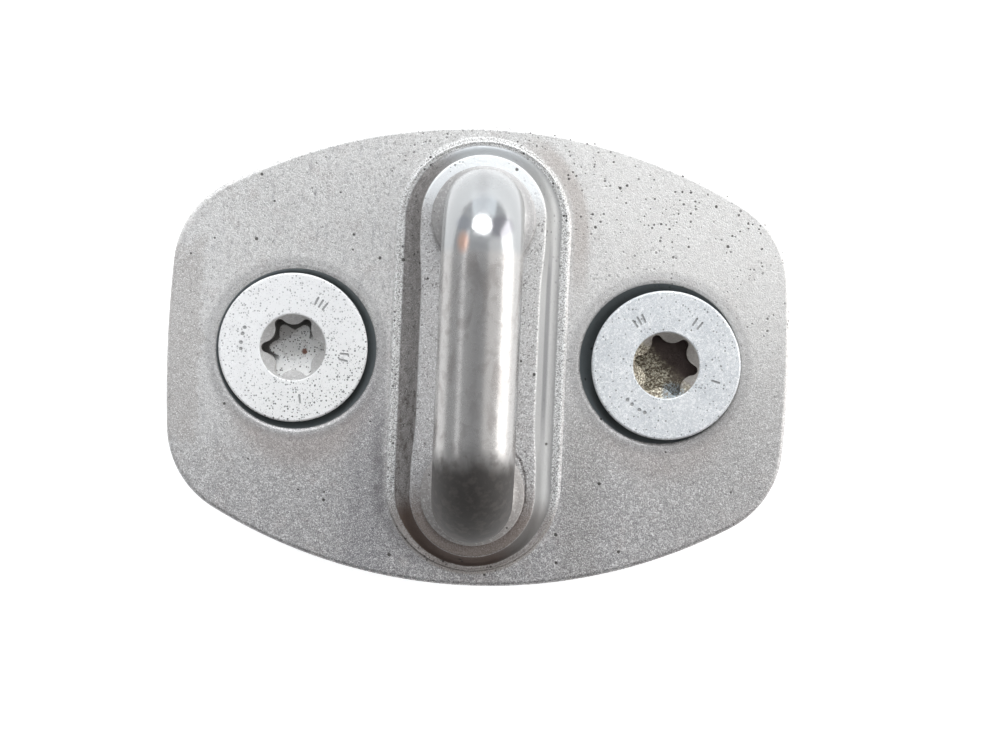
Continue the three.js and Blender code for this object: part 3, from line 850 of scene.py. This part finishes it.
def plateMaterial():
    tree, material = newMaterial("plateSteel")
    place, x, y, z = placeOf(tree)
    grain, fine = groundSteel(tree, place)
    curls, worms = curledFlecks(tree, place, fine)
    broad = noise(tree, place, 0.075, 3, 0.6)
    mottle = noise(tree, place, 0.4, 4, 0.65)
    streaks = noise(tree, stretched(tree, place, (2.2, 0.35, 1)), 1.0, 3, 0.6)
    specks = spots(tree, place, 2.3, 0.3, 0.6)
    pits = spots(tree, place, 0.7, 0.12, 0.5)

    # where a point lies on the raised boss: how far from its spine, and in which direction
    thick = plateSize["thickness"]
    straight = bossSize["end"] - bossSize["halfWidth"]
    toe = bossSize["slopeHalfWidth"]
    over = larger(tree, minus(tree, maths(tree, "ABSOLUTE", y), straight), 0.0)
    over = times(tree, over, maths(tree, "SIGN", y))
    spine = maths(tree, "SQRT", plus(tree, times(tree, x, x), times(tree, over, over)))
    east = maths(tree, "DIVIDE", x, larger(tree, spine, 0.1))
    north = maths(tree, "DIVIDE", over, larger(tree, spine, 0.1))
    high = fade(tree, z, thick - 0.5, thick - 0.1)
    foot = minus(tree, spine, times(tree, maths(tree, "ABSOLUTE", north), 0.55))
    slope = times(tree, fade(tree, foot, toe, toe - 0.25), fade(tree, z, thick + 1.58, thick + 1.4), high)
    land = times(tree, fade(tree, z, thick + 1.5, thick + 1.58), high)
    bead = times(tree, between(tree, plus(tree, foot, times(tree, mottle, 0.3)), toe, toe + 0.85, 0.12), high)
    leftSide = fade(tree, east, -0.25, -0.75)
    rightSide = fade(tree, east, 0.25, 0.75)
    topEnd = fade(tree, north, 0.15, 0.65)
    bottomEnd = fade(tree, north, -0.1, -0.5)
    flat = times(tree, fade(tree, spine, 9.3, 9.7), high)

    # painted light: the plate is lighter towards the top right and darker at the bottom, as it is lit from
    # the top right, with broad random tone
    paintedLightSlant = plus(tree, times(tree, x, -0.13), y, times(tree, broad, 12.0), -6.0)
    tone = blend(tree, fade(tree, paintedLightSlant, -24.0, 10.0), (0.30, 0.29, 0.295), (0.64, 0.63, 0.615))
    # the top right corner: painted light there, and more dark specks
    litAndSpeckyCorner = fade(tree, plus(tree, times(tree, x, 0.4), times(tree, y, 0.8)), 4.0, 22.0)
    pinkish = fade(tree, mottle, 0.5, 0.7)
    dull = fade(tree, streaks, 0.5, 0.7)
    patch = times(tree, fade(tree, plus(tree, x, times(tree, mottle, 4.0)), -27.2, -27.8),
                  between(tree, plus(tree, y, times(tree, mottle, 9.0)), -6.0, 15.5, 0.8), high)
    leftOfBoss = times(tree, between(tree, x, -13.5, -9.0, 1.5), fade(tree, y, 6.0, -8.0))
    rightOfBoss = times(tree, between(tree, x, 9.5, 13.5, 1.5), fade(tree, y, -2.0, -9.0))
    leftEdge = times(tree, fade(tree, x, -26.0, -28.0), between(tree, y, -10.0, 14.0, 2.0))
    tone = paint(tree, tone, [
        (pinkish, 0.35, (0.44, 0.39, 0.375)),
        (fade(tree, grain, 0.5, 0.62), 0.5, (0.90, 0.89, 0.88)),
        (fade(tree, grain, 0.47, 0.35), 0.45, (0.28, 0.27, 0.275)),
        (times(tree, dull, flat, fade(tree, x, -4.0, -12.0)), 0.3, (0.27, 0.265, 0.285)),
        (times(tree, flat, leftOfBoss), 0.5, (0.25, 0.245, 0.26)),
        (times(tree, flat, rightOfBoss), 0.4, (0.28, 0.265, 0.25)),
        # painted shade: the right part of the plate, below the top, darker
        (times(tree, flat, fade(tree, x, 12.0, 30.0), fade(tree, y, 14.0, -4.0)), 0.4, (0.42, 0.405, 0.39)),
        (times(tree, flat, leftEdge), 0.2, (0.80, 0.795, 0.79)),
        (patch, 0.5, (0.42, 0.39, 0.37)),
        (fade(tree, curls, 0.36, 0.31), 0.6, (0.22, 0.21, 0.215)),
        (worms, 0.8, (1.0, 0.995, 0.985)),
        # painted light: a brighter wash over the top right of the plate
        (times(tree, litAndSpeckyCorner, flat, fade(tree, x, 2.0, 15.0)), 0.45, (0.92, 0.905, 0.88)),
    ])

    # the boss: each side of the slope painted lighter or darker for light and shade, with painted shade
    # tinted brown on the lower and left slopes and the land's lower end, and painted light along the bead and
    # the land's upper end
    smear = noise(tree, stretched(tree, place, (1.0, 0.5, 1)), 1.3, 4, 0.7)
    leftSlope = times(tree, slope, leftSide)
    rightSlope = times(tree, slope, rightSide)
    step = between(tree, z, thick + 0.45, thick + 0.85, 0.1)
    tone = paint(tree, tone, [
        (slope, 0.8, (0.47, 0.475, 0.48)),
        (times(tree, slope, topEnd), 0.92, (0.31, 0.32, 0.328)),
        (leftSlope, 0.95, (0.185, 0.172, 0.165)),
        (times(tree, leftSlope, fade(tree, smear, 0.45, 0.62)), 0.6, (0.30, 0.28, 0.27)),
        (times(tree, leftSlope, fade(tree, curls, 0.40, 0.34)), 0.85, (0.05, 0.045, 0.042)),
        (times(tree, leftSlope, worms), 0.5, (0.6, 0.59, 0.58)),
        (times(tree, leftSlope, fade(tree, y, -1.0, -7.0), fade(tree, smear, 0.5, 0.35)), 0.8,
         (0.10, 0.085, 0.075)),
        (times(tree, slope, bottomEnd), 0.97, (0.125, 0.09, 0.074)),
        (rightSlope, 0.7, (0.29, 0.29, 0.285)),
        # painted reflection: a dark stripe part way up the right slope
        (times(tree, rightSlope, step, fade(tree, y, -13.0, -4.0), fade(tree, y, 14.0, 8.0)), 0.8,
         (0.16, 0.16, 0.165)),
        # painted light on the upper land, painted shade on its left side and lower end
        (times(tree, land, fade(tree, y, -8.0, 10.0)), 0.35, (0.62, 0.61, 0.60)),
        (times(tree, land, leftSide), 0.4, (0.40, 0.395, 0.405)),
        (times(tree, land, fade(tree, curls, 0.41, 0.35)), 0.7, (0.17, 0.155, 0.15)),
        (times(tree, land, worms), 0.6, (1.0, 1.0, 1.0)),
        (times(tree, land, fade(tree, y, -12.0, -18.0)), 0.8, (0.22, 0.175, 0.15)),
        (times(tree, land, topEnd), 0.85, (0.95, 0.975, 0.985)),
    ])
    # the bead: rubbed bright with painted glints and dark specks, and painted shade at its lower end
    rubbedGlints = fade(tree, fine, 0.42, 0.58)
    tone = paint(tree, tone, [
        (times(tree, bead, ranged(tree, rubbedGlints, 0.1, 1.0)), 0.95, (0.97, 0.97, 0.96)),
        (times(tree, bead, fade(tree, rubbedGlints, 0.3, 0.0)), 0.6, (0.22, 0.21, 0.20)),
        (times(tree, bead, bottomEnd), 0.75, (0.30, 0.265, 0.245)),
        (times(tree, between(tree, spine, 9.5, 10.7, 0.5), leftSide, fade(tree, y, -3.0, -12.0), high,
               fade(tree, mottle, 0.3, 0.6)), 0.6, (0.17, 0.16, 0.165)),
        (times(tree, between(tree, spine, 9.5, 11.2, 0.5), rightSide, fade(tree, y, 4.0, 13.0), high), 0.4,
         (0.40, 0.33, 0.29)),
    ])

    # pockets: dark smooth seats, darker steel with painted shade in the gap round the head, painted shade on
    # the rolled lip, and a brown tint on the plate below them
    inside = 0.0
    for centre, tint in ((-pocketSize["x"], 0.35), (pocketSize["x"], 0.22)):
        away = farFrom(tree, x, y, (centre, 0))
        seat = fade(tree, away, pocketSize["seatRadius"] - 0.02, pocketSize["seatRadius"] - 0.09)
        inside = larger(tree, inside, seat)
        below = farFrom(tree, x, y, (centre + 0.5, -5.5))
        tone = paint(tree, tone, [
            (times(tree, fade(tree, below, 8.5, 5.5), fade(tree, away, 9.0, 9.4), high), tint,
             (0.34, 0.27, 0.24)),
            # painted shade where the lip rolls down into the pocket
            (between(tree, away, 8.7, 9.7, 0.4), 0.3, (0.26, 0.255, 0.26)),
            # the seat: darker steel, with painted shade in the gap round the head
            (seat, 0.97, (0.205, 0.23, 0.24)),
        ])

    # cracks beside the lower foot, then specks and pits
    ring = plus(tree, farFrom(tree, x, y, (-0.3, -14.1)), times(tree, mottle, 1.6), -0.8)
    crack = times(tree, between(tree, ring, 5.75, 6.0, 0.14), fade(tree, x, 3.5, 4.6),
                  fade(tree, y, -9.8, -10.6), fade(tree, fine, 0.4, 0.5), land)
    specky = plus(tree, times(tree, litAndSpeckyCorner, 0.8), times(tree, bead, 0.7), 0.12)
    specky = times(tree, specky, fade(tree, noise(tree, place, 0.25, 2), 0.36, 0.6))
    dark = times(tree, specks, maths(tree, "MINIMUM", specky, 1.0))
    tone = paint(tree, tone, [
        (crack, 0.85, (0.07, 0.055, 0.05)),
        (dark, 0.95, (0.04, 0.035, 0.035)),
        (pits, 0.85, (0.05, 0.045, 0.04)),
    ])
    smooth = larger(tree, times(tree, slope, 0.6), inside)
    rough = minus(tree, ranged(tree, grain, 0.34, 0.62), times(tree, smooth, 0.12))
    height = plus(tree, times(tree, grain, 0.6), times(tree, fine, 0.45), times(tree, bead, fine, 0.9))
    height = minus(tree, height, plus(tree, times(tree, dark, 0.5), times(tree, pits, 0.6), crack))
    height = times(tree, height, minus(tree, 1.0, times(tree, smooth, 0.75)))
    applyTo(tree, tone, rough, height, 0.07).inputs["Metallic"].default_value = 0.6
    return material


def loopMaterial():
    tree, material = newMaterial("loopSteel")
    place, x, y, z = placeOf(tree)
    grain, fine = groundSteel(tree, place)
    smears = noise(tree, stretched(tree, place, (1.0, 0.45, 1)), 0.55, 3, 0.5, 0.4)
    small = noise(tree, place, 1.1, 3, 0.6)
    shaft = fade(tree, y, 10.8, 9.2)
    foot = fade(tree, z, 8.1, 7.5)
    # painted shade with some grime on the lower bend, which faces away from the light
    shadeAndGrime = fade(tree, plus(tree, y, times(tree, smears, 3.0)), -7.2, -10.1)
    shadeAndGrime = times(tree, shadeAndGrime, fade(tree, plus(tree, z, times(tree, smears, 6.0)), 20.0, 29.0))
    tone = paint(tree, blend(tree, smears, (0.41, 0.40, 0.39), (0.48, 0.47, 0.46)), [
        (times(tree, fade(tree, smears, 0.5, 0.66), shaft), 0.6, (0.30, 0.28, 0.27)),
        (times(tree, fade(tree, small, 0.52, 0.68), shaft), 0.35, (0.26, 0.24, 0.23)),
        (fade(tree, shaft, 1.0, 0.0), 0.7, (0.36, 0.375, 0.385)),
        # painted reflections round the lamp's spot on the upper bend: a dark purple patch and a bluish halo
        (fade(tree, farFrom(tree, x, y, (1.75, 12.4)), 1.5, 0.7), 0.55, (0.19, 0.18, 0.21)),
        (fade(tree, farFrom(tree, x, y, (-1.9, 12.6)), 1.0, 0.4), 0.3, (0.2, 0.22, 0.28)),
        # painted reflection: a dark band down the middle of the bar
        (between(tree, plus(tree, x, times(tree, smears, 1.0)), -0.2, 0.9, 0.6), 0.3, (0.2, 0.195, 0.2)),
        # painted shade and grime on the lower bend
        (shadeAndGrime, 0.96, (0.05, 0.045, 0.042)),
        (times(tree, shadeAndGrime, fade(tree, small, 0.45, 0.65)), 0.5, (0.12, 0.108, 0.1)),
        # painted reflection: an orange spot beside the lamp's spot
        (fade(tree, farFrom(tree, times(tree, x, 1.8), y, (-3.35, 10.8)), 1.5, 0.3), 0.6, (0.72, 0.42, 0.30)),
        (foot, 1.0, (0.47, 0.46, 0.455)),
        (times(tree, foot, fade(tree, y, -8.0, -14.0)), 0.6, (0.30, 0.27, 0.25)),
        (times(tree, foot, fade(tree, x, 0.5, -3.5)), 0.55, (0.24, 0.23, 0.225)),
        (times(tree, foot, fade(tree, grain, 0.5, 0.66)), 0.4, (0.75, 0.74, 0.73)),
        (times(tree, foot, spots(tree, place, 1.9, 0.2, 0.35)), 0.8, (0.06, 0.05, 0.05)),
        (fade(tree, z, 6.85, 6.7), 0.6, (0.10, 0.09, 0.085)),
    ])
    polished = times(tree, fade(tree, y, 9.5, 11.0), fade(tree, y, 16.5, 14.5))
    rough = plus(tree, ranged(tree, small, 0.22, 0.32), times(tree, polished, -0.09),
                 times(tree, shadeAndGrime, 0.42), times(tree, foot, 0.3))
    coarse = plus(tree, grain, times(tree, fine, 0.5))
    height = plus(tree, times(tree, small, 0.25), times(tree, foot, coarse))
    shader = applyTo(tree, tone, rough, height, 0.06)
    # less metallic on the lower bend's painted shade and grime, and on the feet
    shadeGrimeAndFoot = larger(tree, shadeAndGrime, foot)
    tree.links.new(ranged(tree, shadeGrimeAndFoot, 0.92, 0.35), shader.inputs["Metallic"])
    return material


def screwMaterial(side):
    tree, material = newMaterial(side + "ScrewZinc")
    place, x, y, z = placeOf(tree)
    cx, cy, top = centreOf(side + "_screw")
    away = farFrom(tree, x, y, (cx, cy))
    crinkle = noise(tree, place, 4.6, 3, 0.6, 1.0)
    cloud = noise(tree, place, 0.35, 3, 0.6)
    lines = fade(tree, maths(tree, "ABSOLUTE", minus(tree, crinkle, 0.5)), 0.03, 0.0)
    floorZ = top - socketSize["depth"]
    mark = times(tree, between(tree, away, 4.2, 6.8, 0.1), fade(tree, z, top - 0.02, top - 0.07),
                 fade(tree, z, top - 0.9, top - 0.75))
    rim = times(tree, between(tree, away, 7.3, 7.9, 0.2), fade(tree, z, top - 0.02, top - 0.3))
    mouth = times(tree, fade(tree, away, 3.9, 3.6), fade(tree, z, top - 0.03, top - 0.1))
    wall = times(tree, fade(tree, away, 3.7, 3.6), fade(tree, z, top - 0.6, top - 1.0),
                 fade(tree, z, floorZ + 0.02, floorZ + 0.1))
    bottom = times(tree, fade(tree, away, 3.7, 3.5), fade(tree, z, floorZ + 0.1, floorZ + 0.02))
    if side == "left":
        coat = blend(tree, fade(tree, cloud, 0.4, 0.65), (1.0, 1.0, 1.0), (0.98, 0.98, 0.98))
        specks = larger(tree, spots(tree, place, 3.9, 0.36, 0.7),
                        fade(tree, noise(tree, place, 6.5, 2, 0.5), 0.66, 0.7))
        # how far towards the socket's shaded corner
        lean = plus(tree, times(tree, plus(tree, x, -cx), -0.55), times(tree, plus(tree, y, -cy), 0.8),
                    times(tree, crinkle, 0.7), -0.35)
        corner = fade(tree, plus(tree, times(tree, x, 0.6), times(tree, y, -1.0)), -14.0, -4.0)
        around = maths(tree, "ARCTAN2", plus(tree, y, -cy), plus(tree, x, -cx))
        socketTurn = math.radians(screwTurns[side][0])
        lobes = maths(tree, "COSINE", times(tree, minus(tree, around, socketTurn), 6.0))
        ring = times(tree, between(tree, away, 1.2, 1.4, 0.1), fade(tree, crinkle, 0.45, 0.5))
        rust = fade(tree, plus(tree, farFrom(tree, x, y, (cx + 1.05, cy - 0.35)), times(tree, crinkle, 0.5)),
                    0.66, 0.46)
        shade = fade(tree, plus(tree, away, times(tree, lobes, -0.4), times(tree, crinkle, 0.3)), 2.35, 2.55)
        layers = [
            (corner, 0.2, (0.78, 0.77, 0.72)),
            (lines, 0.12, (0.60, 0.60, 0.60)),
            (specks, ranged(tree, corner, 0.5, 0.9), (0.05, 0.05, 0.05)),
            (mouth, 0.9, (0.38, 0.37, 0.36)),
            (times(tree, mouth, fade(tree, crinkle, 0.5, 0.6)), 0.6, (0.62, 0.61, 0.60)),
            (wall, 1.0, (0.75, 0.74, 0.72)),
            (times(tree, wall, fade(tree, lean, 0.2, 0.9)), 0.95, (0.06, 0.055, 0.05)),
            (bottom, 1.0, (1.0, 1.0, 0.99)),
            (times(tree, bottom, spots(tree, place, 4.2, 0.36, 0.75)), 0.9, (0.07, 0.06, 0.055)),
            (times(tree, bottom, fade(tree, lean, 1.1, 1.5)), 0.6, (0.42, 0.39, 0.37)),
            (times(tree, bottom, fade(tree, lean, -0.6, 0.4), shade), 0.93, (0.06, 0.055, 0.05)),
            (times(tree, bottom, ring), 0.5, (0.45, 0.44, 0.43)),
            (times(tree, bottom, rust), 0.92, (0.20, 0.065, 0.03)),
        ]
    else:
        coat = blend(tree, fade(tree, cloud, 0.4, 0.65), (0.86, 0.885, 0.905), (0.76, 0.79, 0.815))
        specks = spots(tree, place, 3.0, 0.28, 0.5)
        patchy = noise(tree, place, 1.4, 3, 0.7)
        gold = times(tree, fade(tree, plus(tree, x, y, times(tree, patchy, 4.0), -cx - cy - 2.2), 1.2, -1.2),
                     fade(tree, away, 3.9, 3.6), fade(tree, z, top - 0.03, top - 0.1))
        blue = times(tree, fade(tree, farFrom(tree, x, y, (cx + 0.9, cy - 3.0)), 1.5, 0.9), mouth)
        layers = [
            (fade(tree, crinkle, 0.47, 0.39), 0.5, (0.50, 0.52, 0.54)),
            (lines, 0.8, (0.42, 0.43, 0.44)),
            (fade(tree, crinkle, 0.53, 0.62), 0.7, (1.0, 1.0, 1.0)),
            (specks, 0.7, (0.07, 0.07, 0.07)),
            (mouth, 0.92, (0.30, 0.275, 0.25)),
            (times(tree, mouth, fade(tree, crinkle, 0.5, 0.6)), 0.5, (0.50, 0.48, 0.44)),
            (wall, 0.97, (0.065, 0.05, 0.045)),
            (bottom, 1.0, (0.095, 0.07, 0.062)),
            (gold, 0.85, (0.21, 0.175, 0.12)),
            (times(tree, gold, gold, fade(tree, crinkle, 0.51, 0.57)), 0.9, (0.74, 0.70, 0.57)),
            (times(tree, gold, fade(tree, crinkle, 0.46, 0.38)), 0.9, (0.06, 0.045, 0.035)),
            (times(tree, blue, fade(tree, crinkle, 0.42, 0.55)), 0.8, (0.26, 0.33, 0.39)),
        ]
    layers += [
        (mark, 0.75, (0.30, 0.30, 0.30)),
        (rim, 0.45, (0.40, 0.40, 0.39)),
        (fade(tree, z, top - 0.6, top - 0.95), fade(tree, away, 3.4, 3.6), (0.46, 0.465, 0.47)),
    ]
    tone = paint(tree, coat, layers)
    rough = ranged(tree, crinkle, 0.36, 0.6)
    sunk = plus(tree, times(tree, lines, 0.25), times(tree, specks, 0.4))
    height = minus(tree, times(tree, crinkle, 0.7), sunk)
    shader = applyTo(tree, tone, rough, height, 0.05)
    shader.inputs["Metallic"].default_value = 0.12 if side == "left" else 0.45
    return material


def retainerMaterial():
    tree, material = newMaterial("retainerNylon")
    place = placeOf(tree)[0]
    grain = noise(tree, place, 5.0, 3, 0.6)
    scuffs = noise(tree, place, 0.9, 3, 0.6)
    tone = paint(tree, blend(tree, grain, (0.03, 0.03, 0.033), (0.055, 0.055, 0.06)), [
        (fade(tree, scuffs, 0.58, 0.72), 0.5, (0.10, 0.10, 0.105)),
    ])
    applyTo(tree, tone, ranged(tree, grain, 0.42, 0.66), grain, 0.03)
    return material


def floorMaterial():
    tree, material = newMaterial("paleFloor")
    shader = tree.nodes["Principled BSDF"]
    shader.inputs["Base Color"].default_value = (0.94, 0.94, 0.94, 1)
    shader.inputs["Roughness"].default_value = 0.9
    shader.inputs["Specular IOR Level"].default_value = 0.1
    shader.inputs["Emission Color"].default_value = (1, 1, 1, 1)
    shader.inputs["Emission Strength"].default_value = 0.5
    return material


plate.data.materials.append(plateMaterial())
loop.data.materials.append(loopMaterial())
leftScrew.data.materials.append(screwMaterial("left"))
rightScrew.data.materials.append(screwMaterial("right"))
nylon = retainerMaterial()
for retainer in (leftRetainer, rightRetainer):
    retainer.data.materials.append(nylon)
floor.data.materials.append(floorMaterial())
print("materials ready")


# what moves with what
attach(plate, "striker")
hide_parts("striker_plate")
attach(loop, "striker")
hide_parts("striker_loop")
for side, screw, retainer in (("left", leftScrew, leftRetainer), ("right", rightScrew, rightRetainer)):
    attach(screw, side + "_screw_body")
    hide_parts(side + "_screw")
    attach(retainer, side + "_retainer_body")
    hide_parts(side + "_retainer")

print("pieces ride on their bodies")
